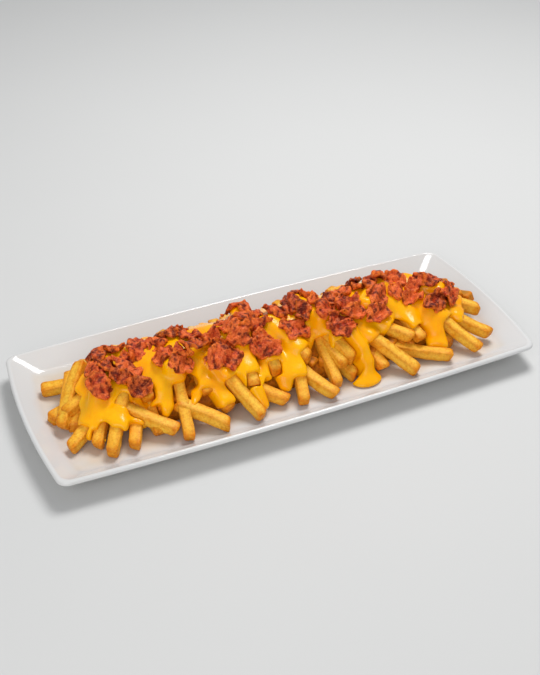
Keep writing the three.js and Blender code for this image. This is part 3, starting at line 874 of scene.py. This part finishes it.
def placing_tree(kinds, material):
    """Node tree that puts a fry of the chosen kind at each point and turns it."""
    tree = bpy.data.node_groups.new("fries_from_places", "GeometryNodeTree")
    for name, way, kind, value in (("Geometry", "INPUT", "Geometry", None),
                                   ("Section size", "INPUT", "Float", 1.0),
                                   ("Seed", "INPUT", "Int", 5),
                                   ("Geometry", "OUTPUT", "Geometry", None)):
        socket = tree.interface.new_socket(name, in_out=way, socket_type="NodeSocket" + kind)
        if value is not None:
            socket.default_value = value
    given = new_node(tree, "NodeGroupInput").outputs

    def named(name, kind):
        node = new_node(tree, "GeometryNodeInputNamedAttribute", {"Name": name}, data_type=kind)
        return node.outputs["Attribute"]

    source = new_node(tree, "GeometryNodeCollectionInfo",
                      {"Collection": kinds, "Separate Children": True, "Reset Children": True})
    turn = new_node(tree, "FunctionNodeEulerToRotation", {"Euler": named("turn", "FLOAT_VECTOR")})
    vary = new_node(tree, "FunctionNodeRandomValue", {2: 0.95, 3: 1.05, "Seed": given["Seed"]},
                    data_type="FLOAT")
    wide = new_node(tree, "ShaderNodeMath", {0: given["Section size"], 1: vary.outputs[1]},
                    operation="MULTIPLY").outputs[0]
    scale = new_node(tree, "ShaderNodeCombineXYZ", {"X": named("stretch", "FLOAT"), "Y": wide, "Z": wide})
    put = new_node(tree, "GeometryNodeInstanceOnPoints", {
        "Points": given["Geometry"], "Instance": source.outputs["Instances"], "Pick Instance": True,
        "Instance Index": named("kind", "INT"), "Rotation": turn.outputs["Rotation"],
        "Scale": scale.outputs["Vector"]})
    real = new_node(tree, "GeometryNodeRealizeInstances", {"Geometry": put.outputs["Instances"]})
    finish = new_node(tree, "GeometryNodeSetMaterial",
                      {"Geometry": real.outputs["Geometry"], "Material": material})
    new_node(tree, "NodeGroupOutput", {"Geometry": finish.outputs["Geometry"]})
    return tree


def applied(piece, name):
    """Plain mesh object from a piece's modifiers; the piece itself is removed."""
    graph = bpy.context.evaluated_depsgraph_get()
    mesh = bpy.data.meshes.new_from_object(piece.evaluated_get(graph))
    result = bpy.data.objects.new(name, mesh)
    bpy.context.collection.objects.link(result)
    bpy.data.objects.remove(piece)
    return result


class OBJECT_OT_make_fries(bpy.types.Operator):
    """Make the heap of fries from their places, with deeper ones in the gaps"""
    bl_idname = "object.make_fries"
    bl_label = "Make fries"

    def execute(self, context):
        settings = context.scene.fries_settings
        lengths = [38, 42, 46, 50, 54, 58, 62, 68]
        kinds = bpy.data.collections.new("fry_kinds")
        material = fried_potato(settings.light, settings.brown)
        for number, length in enumerate(sorted(lengths * 2)):
            vertices, faces, edges = fry_kind(length, settings.side / MM, 11 + number)
            kind = make_object(f"fry_kind_{number:02d}", vertices, faces, material)
            add_attribute(kind.data, "edge", edges)
            context.collection.objects.unlink(kind)
            kinds.objects.link(kind)
        shown = FRONT_FRIES + ruled_fries(settings.seed)
        deeper = filler_fries(settings.seed + 1, settings.fillers)
        following = series(settings.seed + 2)
        places, turns, stretches, chosen, tones_and_buried_shade = [], [], [], [], []
        for number, (x, y, z, yaw, pitch, length, roll, _) in enumerate(shown + deeper):
            nearest = min(range(len(lengths)), key=lambda i: abs(lengths[i] - length))
            places.append((x * MM, y * MM, z * MM))
            turns.append([math.radians(v) for v in (roll + 4 * (following() - 0.5), -pitch, yaw)])
            stretches.append(length / lengths[nearest])
            chosen.append(nearest * 2 + int(following() * 2))
            # Shown fries get a random tone; the deeper fries get a tone above 1, which the material turns
            # into painted shade.
            tones_and_buried_shade.append(following() if number < len(shown) else 1.6 + 0.4 * following())
        mesh = bpy.data.meshes.new("fry_places")
        mesh.from_pydata(places, [], [])
        add_attribute(mesh, "turn", turns, "FLOAT_VECTOR")
        add_attribute(mesh, "stretch", stretches)
        add_attribute(mesh, "kind", chosen, "INT")
        add_attribute(mesh, "tone", tones_and_buried_shade)
        points = bpy.data.objects.new("fry_places", mesh)
        context.collection.objects.link(points)
        points.modifiers.new("fries", "NODES").node_group = placing_tree(kinds, material)
        piece = applied(points, "fries_golden")
        for kind in list(kinds.objects):
            bpy.data.objects.remove(kind)
        bpy.data.collections.remove(kinds)
        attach(piece, "root")
        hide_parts("fries")
        make_core(material)
        return {"FINISHED"}


def make_core(material):
    """Packed fries at the heart of the heap, seen only in the gaps, as a ground darkened by painted shade.
    """
    reach, inset, depth = 148, 24, 13
    across = np.linspace(-1, 1, 41)

    def place(x, share):
        return RIDGE_Y + share * (float(heap_edge(x, share < 0)) - inset)

    rings = []
    for x in np.linspace(-reach, reach, 120):
        ring = []
        for share in across:
            y = place(x, share)
            z = float(heap_top(x, y)) - depth + 1.6 * float(noise(x, y, 0, 8))
            ring.append((x, y, max(WELL_HEIGHT + 0.6, z)))
        ring += [(x, place(x, share), WELL_HEIGHT + 0.3) for share in across[::-8]]
        rings.append(ring)
    piece = make_lofted("fries_core", rings, material)
    count = len(piece.data.vertices)
    # A high edge mark browns the whole core, and a tone of 1.9 darkens it as painted shade.
    add_attribute(piece.data, "edge", np.full(count, 0.8))
    add_attribute(piece.data, "tone", np.full(count, 1.9))
    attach(piece, "root")


# Cheese sauce

def fries_height(fries, side, volume):
    """Highest fry surface over each place of the sauce's grid."""
    heap = Volume(volume.low, volume.low + (volume.count - 1) * volume.step, volume.step)
    for fry in fries:
        spans, x, y, z = heap.block(*fry_reach(fry, fry[5], side))
        heap.values[spans] = np.minimum(heap.values[spans], fry_body(fry, side)(x, y, z))
    x, y, z = (heap.low[k] + heap.step * np.arange(heap.count[k]) for k in range(3))
    top = np.where(heap.values < 0, z, WELL_HEIGHT).max(axis=2)
    return np.maximum(top, heap_top(x[:, None], y[None, :]) - 4)


def surface_near(height, volume, x, y, radius):
    """Height on which a tongue of sauce lies at a place."""
    i, j = (int(round(v)) for v in (np.array((x, y)) - volume.low[:2]) / volume.step)
    n = max(1, int(radius * 0.5 / volume.step))
    return float(np.percentile(height[i - n:i + n + 1, j - n:j + n + 1], 75))


def sauce_cap(x, y, z, step):
    """Distance to the sauce over the ridge."""
    flat_x, flat_y = x[:, :, 0], y[:, :, 0]
    top = heap_top(flat_x, flat_y)
    slope_y, slope_x = np.gradient(top, step, axis=1), np.gradient(top, step, axis=0)
    lean = (1 / np.sqrt(1 + slope_x ** 2 + slope_y ** 2))[:, :, None]
    wander = 2.2 * noise(flat_x, flat_y, 0, 9.0)
    inside = np.minimum(flat_y - RIDGE_Y + cap_edge(flat_x, CAP_FRONT),
                        RIDGE_Y + cap_edge(flat_x, CAP_BACK) - flat_y)
    inside = np.minimum(inside, np.minimum(flat_x - CAP_LEFT, CAP_RIGHT - flat_x)) + wander
    lumps = 1.5 * noise(flat_x, flat_y, 3, 13.0) + 0.8 * noise(flat_x, flat_y, 5, 6.0)
    d = smooth_max((z - (top - 1.6 + lumps)[:, :, None]) * lean, -0.8 * inside[:, :, None], 5.0)
    return smooth_max(d, ((top - 9)[:, :, None] - z) * lean, 1.5)


def sauce_volume(fries, side, thickness, step):
    """The whole sauce: over the ridge, round the fries, in tongues, and the drip with its pool."""
    volume = Volume(*SAUCE_BOX, step)
    spans, x, y, z = volume.block(*SAUCE_BOX)
    volume.values[spans] = sauce_cap(x, y, z, step)
    for fry in fries:
        if fry[5] - fry[7] >= 14:
            volume.join(*fry_reach(fry, fry[5], 12), coat(fry, side, thickness), 4.5)
    height = fries_height(fries, side, volume)
    for tongue in FRONT_TONGUES + BACK_TONGUES:
        stops = []
        for x0, y0, radius in tongue:
            top = surface_near(height, volume, x0, y0, radius) + TONGUE_HEIGHT
            stops.append(((x0, y0, top - radius / TONGUE_PRESS), radius))
        for (a, ra), (b, rb) in zip(stops, stops[1:]):
            shape = squashed(capsule(a, b, ra, rb), (a[2] + b[2]) / 2, TONGUE_PRESS)
            volume.join(*box_round(a, b, 15), shape, 4.0)
    for a, b in zip(DRIP, DRIP[1:]):
        volume.join(*box_round(a[:3], b[:3], 15), capsule(a[:3], b[:3], a[3], b[3]), 4.0)

    def pool(x, y, z):
        q = np.sqrt(((x - POOL[0]) / POOL[2]) ** 2 + ((y - POOL[1]) / POOL[3]) ** 2
                    + ((z - WELL_HEIGHT - 0.4) / POOL[4]) ** 2)
        return (q - 1) * 5.0

    volume.join(*POOL_BOX, pool, 3.5)
    for *places, radius in GAPS:
        mouth, bottom = places[:3], places[3:]
        volume.cut(*box_round(mouth, bottom, 9), capsule(mouth, bottom, radius + 1, radius), 2.0)
    for fry in fries:
        if fry[7] > 3:
            volume.cut(*fry_reach(fry, fry[7], 11), bare_space(fry, side), 1.6)
    volume.values = smooth_max(volume.values, WELL_HEIGHT + 0.3 - z, 0.6)
    volume.soften(2)
    return volume


class OBJECT_OT_make_sauce(bpy.types.Operator):
    """Make the poured cheese sauce over the heap"""
    bl_idname = "object.make_sauce"
    bl_label = "Make sauce"

    def execute(self, context):
        settings = context.scene.sauce_settings
        fries = FRONT_FRIES + ruled_fries(context.scene.fries_settings.seed)
        side = context.scene.fries_settings.side / MM
        volume = sauce_volume(fries, side, settings.thickness / MM, settings.step / MM)
        vertices, faces = volume.surface()
        piece = make_object("cheese_poured", vertices, faces, cheese_sauce(settings.color, settings.shade))
        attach(piece, "root")
        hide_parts("cheese")
        return {"FINISHED"}


# Bacon

def bacon_kind(length, width, seed, step):
    """One crumbled piece round the origin, with each vertex's share of rim, of fat and of grain."""
    rng = np.random.default_rng(seed)
    half_x, half_y = length / 2, width / 2
    margin, height = 3.5, 8.5
    high = np.array([half_x + margin, half_y + margin, height])
    volume = Volume(-high, high, step)
    _, x, y, z = volume.block(-high, high)
    shift = seed * 1.7
    power = 2.6
    grain_size = 2.1

    def outline(x, y):
        plan = (np.abs(x / half_x) ** power + np.abs(y / half_y) ** power) ** (1 / power) - 1
        plan = plan - 0.26 * noise(x, y, 0, 6.0, shift) - 0.14 * noise(x, y, 0, 2.6, shift)
        return plan * min(half_x, half_y)

    angle = rng.uniform(0, math.pi)
    wavelength, start = rng.uniform(9, 14), rng.uniform(0, 6)
    wave = np.sin((x * math.cos(angle) + y * math.sin(angle)) * 2 * math.pi / wavelength + start)
    middle = 1.1 * wave + 1.2 * noise(x, y, 0, 7.5, shift + 1) + 0.5 * noise(x, y, 0, 3.4, shift + 2)
    middle = middle + rng.uniform(-1.2, 1.2) * (x / half_x) ** 2 + rng.uniform(-0.8, 0.8) * (y / half_y) ** 2
    thick = 1.55 + 0.5 * noise(x, y, 0, 4.0, shift + 3)
    d = smooth_max(np.abs(z - middle) - thick, outline(x, y), 1.1)
    d = d - 0.45 * noise(x, y, z, grain_size, shift + 4) - 0.2 * noise(x, y, z, 1.5, shift + 5)
    volume.values = d.astype(np.float32)
    v, faces = volume.surface()
    x, y, z = v.T
    rim = np.clip(1 + outline(x, y) / 3.0, 0, 1)
    across = y * math.cos(angle / 3) - x * math.sin(angle / 3)
    sway = 1.6 * noise(x, y, 0, 6.0, shift + 6)
    fat = 0.5 + 0.5 * np.sin(across * 2 * math.pi / 9 + start + sway)
    # Height of the grain, from which the material paints shade in the hollows and highlights on the crests.
    grain = 0.5 + 0.5 * noise(x, y, z, grain_size, shift + 4)
    return v, faces, np.column_stack([rim, fat, grain])


def largest_part(vertices, faces, values):
    """Keep only the largest connected part of a mesh."""
    label = np.arange(len(vertices))
    edges = np.array([(f[i], f[(i + 1) % len(f)]) for f in faces for i in range(len(f))])
    while True:
        low = np.minimum(label[edges[:, 0]], label[edges[:, 1]])
        before = label.copy()
        np.minimum.at(label, edges[:, 0], low)
        np.minimum.at(label, edges[:, 1], low)
        label = label[label]
        if np.array_equal(before, label):
            break
    keep = label == np.bincount(label).argmax()
    index = np.cumsum(keep) - 1
    return vertices[keep], [tuple(int(index[i]) for i in f) for f in faces if keep[f[0]]], values[keep]


class HeightMap:
    """Highest surface over each square millimetre of the platter."""

    def __init__(self):
        self.reach = np.array([200, 90])
        self.last = 2 * self.reach - 1
        self.values = np.full(2 * self.reach, float(WELL_HEIGHT))

    def cells(self, points):
        index = np.floor(points[:, :2] + self.reach).astype(int)
        return np.clip(index, 0, self.last).T

    def add(self, points):
        """Raise the map to the points, each spread a little so that no cell between them is left out."""
        for dx, dy in ((-0.4, -0.4), (0.4, -0.4), (-0.4, 0.4), (0.4, 0.4)):
            i, j = self.cells(points + (dx, dy, 0))
            np.maximum.at(self.values, (i, j), points[:, 2])

    def at(self, points, spread=0):
        """Height at each point, or its mean over a square round it."""
        i, j = self.cells(points)
        shifts = range(-spread, spread + 1)
        near = [self.values[np.clip(i + a, 0, self.last[0]), np.clip(j + b, 0, self.last[1])]
                for a in shifts for b in shifts]
        return np.mean(near, axis=0)

    def slope(self, x, y, reach):
        """Slopes along X and Y of the plane nearest to the surface round a place."""
        spots = np.arange(-round(reach), round(reach) + 1.0)
        dx, dy = np.meshgrid(spots, spots)
        points = np.column_stack([x + dx.ravel(), y + dy.ravel()])
        sheet = np.column_stack([dx.ravel(), dy.ravel(), np.ones(dx.size)])
        found = np.linalg.lstsq(sheet, self.at(points), rcond=None)[0]
        return np.clip(found[:2], -0.9, 0.9)


class OBJECT_OT_make_bacon(bpy.types.Operator):
    """Make the crumbled bacon pieces and lay them on the sauce"""
    bl_idname = "object.make_bacon"
    bl_label = "Make bacon"

    def execute(self, context):
        settings = context.scene.bacon_settings
        ground = HeightMap()
        for name in ("cheese_poured", "fries_golden"):
            below = bpy.data.objects.get(name)
            if below is None:
                raise RuntimeError("make the fries and the sauce before the bacon")
            points = np.empty(len(below.data.vertices) * 3)
            below.data.vertices.foreach_get("co", points)
            ground.add(points.reshape(-1, 3) / MM)
        following = series(9)
        vertices, faces, looks = [], [], []
        count = 0
        for number, (x, y, yaw, length, width) in enumerate(BACON_PLACES):
            v, f, marks = bacon_kind(length * settings.spread, width * settings.spread,
                                     101 + number, settings.step / MM)
            v, f, marks = largest_part(v, f, marks)
            a = math.radians(yaw)
            lean_x, lean_y = 0.3 * (following() - 0.5), 0.3 * (following() - 0.5)
            slope_x, slope_y = ground.slope(x, y, 0.45 * math.sqrt(length * width))
            up = np.array([lean_x - slope_x, lean_y - slope_y, 1.0])
            up /= np.linalg.norm(up)
            across = np.cross(up, [math.cos(a), math.sin(a), 0])
            across /= np.linalg.norm(across)
            along = np.cross(across, up)
            v = v @ np.array([along, across, up]) + np.array([x, y, 0])
            rise = ground.at(v, 3) + (v[:, :2] - (x, y)) @ (up[:2] / up[2])
            v[:, 2] += np.clip(rise - np.median(rise), BEND_DOWN, BEND_UP)
            v[:, 2] += np.percentile(ground.at(v) - v[:, 2], CLEARING) - SINKING
            ground.add(v)
            vertices.append(v)
            faces += [tuple(i + count for i in face) for face in f]
            looks.append(np.column_stack([marks, np.full(len(v), following())]))
            count += len(v)
        material = fried_bacon(settings.dark, settings.red, settings.pink, settings.fat)
        piece = make_object("bacon_crumbled", np.concatenate(vertices), faces, material)
        for name, values in zip(("rim", "fat", "grain", "tone"), np.concatenate(looks).T):
            add_attribute(piece.data, name, values)
        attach(piece, "root")
        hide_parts(*[f"bacon_{n + 1:02d}" for n in range(len(BACON_PLACES))])
        return {"FINISHED"}


# Stage

class OBJECT_OT_make_stage(bpy.types.Operator):
    """Make the pale floor, the soft studio lights and the camera"""
    bl_idname = "object.make_stage"
    bl_label = "Make stage"

    def execute(self, context):
        settings = context.scene.stage_settings
        reach = 3000.0
        corners = [(-reach, -reach, 0), (reach, -reach, 0), (reach, reach, 0), (-reach, reach, 0)]
        floor = make_object("floor", corners, [(0, 1, 2, 3)], plain_floor(settings.floor), smooth=False)
        world = bpy.data.worlds.new("studio")
        world.use_nodes = True
        sky = world.node_tree.nodes["Background"].inputs
        sky["Color"].default_value = (0.95, 0.97, 1.0, 1)
        sky["Strength"].default_value = 0.4
        context.scene.world = world
        context.scene.view_settings.view_transform = "Standard"
        for name, place, size, share in LIGHTS:
            self.add_light(context, name, place, size, settings.light * share)
        turn, rise = math.radians(TURN), math.radians(RISE)
        back = Vector((math.sin(turn) * math.cos(rise), -math.cos(turn) * math.cos(rise), math.sin(rise)))
        lens = bpy.data.cameras.new("camera")
        lens.sensor_width = SENSOR
        lens.lens = LENS
        lens.clip_start = 0.01
        lens.clip_end = 20
        camera = bpy.data.objects.new("camera", lens)
        camera.location = Vector(AIM) * MM + back * DISTANCE
        camera.rotation_mode = "QUATERNION"
        camera.rotation_quaternion = (-back).to_track_quat("-Z", "Y")
        context.collection.objects.link(camera)
        context.scene.camera = camera
        return {"FINISHED"}

    def add_light(self, context, name, place, size, power):
        data = bpy.data.lights.new(name, "AREA")
        data.size = size
        data.energy = power
        light = bpy.data.objects.new(name, data)
        light.location = place
        light.rotation_mode = "QUATERNION"
        light.rotation_quaternion = (-Vector(place)).to_track_quat("-Z", "Y")
        context.collection.objects.link(light)


class VIEW3D_PT_cheese_fries(bpy.types.Panel):
    """Lists the pieces of the platter of fries"""
    bl_label = "Cheese fries"
    bl_space_type = "VIEW_3D"
    bl_region_type = "UI"
    bl_category = "Cheese fries"

    def draw(self, context):
        for name, group in SETTINGS:
            box = self.layout.box()
            for key in group.__annotations__:
                box.prop(getattr(context.scene, name), key)
            box.operator("object.make_" + name.removesuffix("_settings"))


SETTINGS = (
    ("platter_settings", PlatterSettings),
    ("fries_settings", FriesSettings),
    ("sauce_settings", SauceSettings),
    ("bacon_settings", BaconSettings),
    ("stage_settings", StageSettings),
)
OPERATORS = (
    OBJECT_OT_make_platter,
    OBJECT_OT_make_fries,
    OBJECT_OT_make_sauce,
    OBJECT_OT_make_bacon,
    OBJECT_OT_make_stage,
)


def register():
    for name, settings in SETTINGS:
        bpy.utils.register_class(settings)
        setattr(bpy.types.Scene, name, bpy.props.PointerProperty(type=settings))
    for operator in OPERATORS:
        bpy.utils.register_class(operator)
    bpy.utils.register_class(VIEW3D_PT_cheese_fries)


def unregister():
    bpy.utils.unregister_class(VIEW3D_PT_cheese_fries)
    for operator in reversed(OPERATORS):
        bpy.utils.unregister_class(operator)
    for name, settings in reversed(SETTINGS):
        delattr(bpy.types.Scene, name)
        bpy.utils.unregister_class(settings)


def main():
    register()
    bpy.ops.object.make_platter()
    bpy.ops.object.make_fries()
    bpy.ops.object.make_sauce()
    bpy.ops.object.make_bacon()
    bpy.ops.object.make_stage()


if __name__ == "__main__":
    main()
